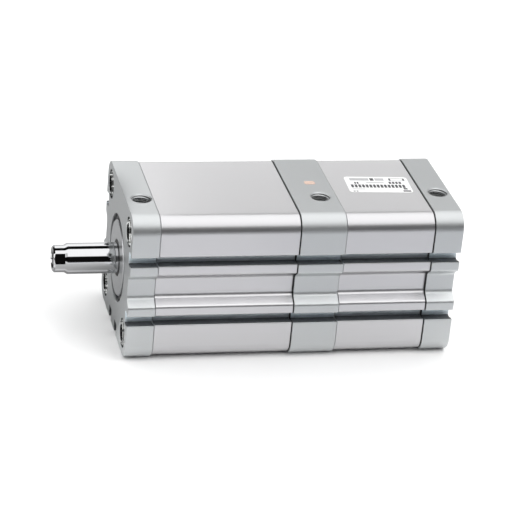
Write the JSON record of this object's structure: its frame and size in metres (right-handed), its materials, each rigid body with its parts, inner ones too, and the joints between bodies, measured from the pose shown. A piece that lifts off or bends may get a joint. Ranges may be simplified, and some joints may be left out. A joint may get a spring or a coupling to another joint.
{
  "type": "compact pneumatic cylinder",
  "caption": "Square-section compact pneumatic cylinder: slotted aluminium barrels between cast heads, and stacked pistons that set a threaded rod at stepped positions.",
  "frame": {"origin": "where the rod axis meets the front mounting face", "axes": "+X out along the piston rod, +Z to the side with the air ports, +Y to the left seen from behind"},
  "size_m": [0.2029, 0.079, 0.079],
  "materials": {
    "head_finish": "matte",
    "barrel_finish": "satin",
    "gland_finish": "satin",
    "piston_finish": "satin",
    "rod_chrome": "polished",
    "push_rod_steel": "satin",
    "screw_steel": "satin",
    "piston_screw_steel": "satin",
    "ring_steel": "satin",
    "bush_bronze": "satin",
    "gasket_rubber": "matte",
    "seal_rubber": "satin",
    "bumper_rubber": "satin",
    "guide_plastic": "matte",
    "magnet_plastic": "matte",
    "label_film": "satin",
    "marking_paint": "gloss"
  },
  "bodies": {
    "housing": {"front_head": "head_finish", "front_barrel": "barrel_finish", "mid_head_gasket": "gasket_rubber", "mid_head": "head_finish", "rear_barrel": "barrel_finish", "rear_head_gasket": "gasket_rubber", "rear_head": "head_finish", "front_tie_screws": "screw_steel", "rear_tie_screws": "screw_steel", "rod_gland": "gland_finish", "gland_retaining_ring": "ring_steel", "gland_o_ring": "seal_rubber", "rod_wiper": "seal_rubber", "rod_bush": "bush_bronze", "rod_seal": "seal_rubber", "front_head_o_ring": "seal_rubber", "mid_head_o_ring": "seal_rubber", "front_head_bumper": "bumper_rubber", "mid_head_front_bumper": "bumper_rubber", "mid_head_rear_bumper": "bumper_rubber", "rear_head_bumper": "bumper_rubber", "push_rod_bush": "bush_bronze"},
    "rear_stage": {"push_rod": "push_rod_steel", "rear_piston": "piston_finish", "rear_piston_screw": "piston_screw_steel", "rear_piston_lip_seals": "seal_rubber", "rear_piston_guide_ring": "guide_plastic", "rear_piston_magnet": "magnet_plastic"},
    "front_seals": {"front_piston_lip_seals": "seal_rubber", "front_piston_guide_ring": "guide_plastic", "front_piston_magnet": "magnet_plastic"},
    "rod_stage": {"piston_rod": "rod_chrome", "front_piston": "piston_finish", "front_piston_screw": "piston_screw_steel"}
  },
  "joints": [
    {"name": "rear_stage_slide", "type": "slide", "parent": "housing", "child": "rear_stage", "axis": [1, 0, 0], "range_m": [-0.025, 0]},
    {"name": "front_stage_slide", "type": "slide", "parent": "rear_stage", "child": "front_seals", "axis": [1, 0, 0], "range_m": [0, 0.025]},
    {"name": "rod_spin", "type": "hinge", "parent": "front_seals", "child": "rod_stage", "pos_m": [0, 0, 0], "axis": [1, 0, 0], "continuous": true}
  ]
}
